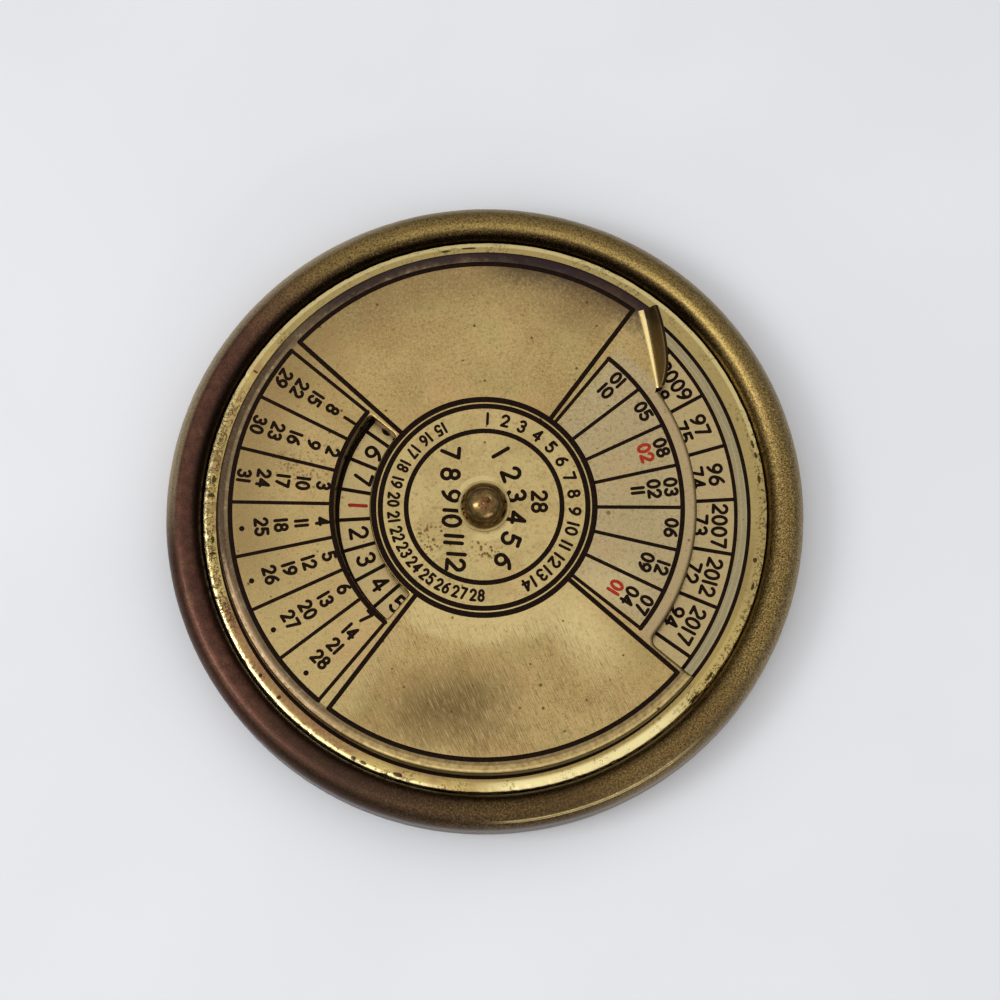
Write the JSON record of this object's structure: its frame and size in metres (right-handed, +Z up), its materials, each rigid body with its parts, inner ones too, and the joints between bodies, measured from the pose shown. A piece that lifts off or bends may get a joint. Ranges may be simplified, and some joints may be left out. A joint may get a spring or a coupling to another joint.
{
  "type": "perpetual desk calendar",
  "caption": "Round brass desk calendar: a dial with two windows and a thumb ear turns on a central post over a fixed dial in a bead-rimmed base.",
  "frame": {"origin": "on the desk, at the centre of the felt pad's underside, under the pivot", "axes": "+Z up along the pivot; +X from the weekday window towards the year window; +Y to the rear, where the thumb ear is"},
  "size_m": [0.08, 0.08, 0.0121],
  "materials": {
    "patinated_brass": "cast brass with a fine granular skin and red-brown patina, worn to gold on the crest of the rim",
    "dial_brass": "satin lacquered sheet brass with black and red enamel-filled lines and numerals",
    "dark_brass": "dark tarnished turned brass, pitted where the post is riveted over",
    "turned_brass": "plain turned brass",
    "steel": "plain spring steel and ground pin stock",
    "felt": "dark green wool felt"
  },
  "bodies": {
    "base_assembly": {"base": "patinated_brass", "felt_pad": "felt", "year_dial": "dial_brass", "locating_pins": "steel", "post": "dark_brass", "backing_washer": "turned_brass", "hub_bush": "turned_brass", "friction_washer": "steel", "knob_washer": "dark_brass", "knob": "dark_brass"},
    "month_dial_assembly": {"month_dial": "dial_brass"}
  },
  "joints": [
    {"name": "month_dial_turn", "type": "hinge", "parent": "base_assembly", "child": "month_dial_assembly", "pos_m": [0, 0, 0.009], "axis": [0, 0, 1], "continuous": true}
  ]
}
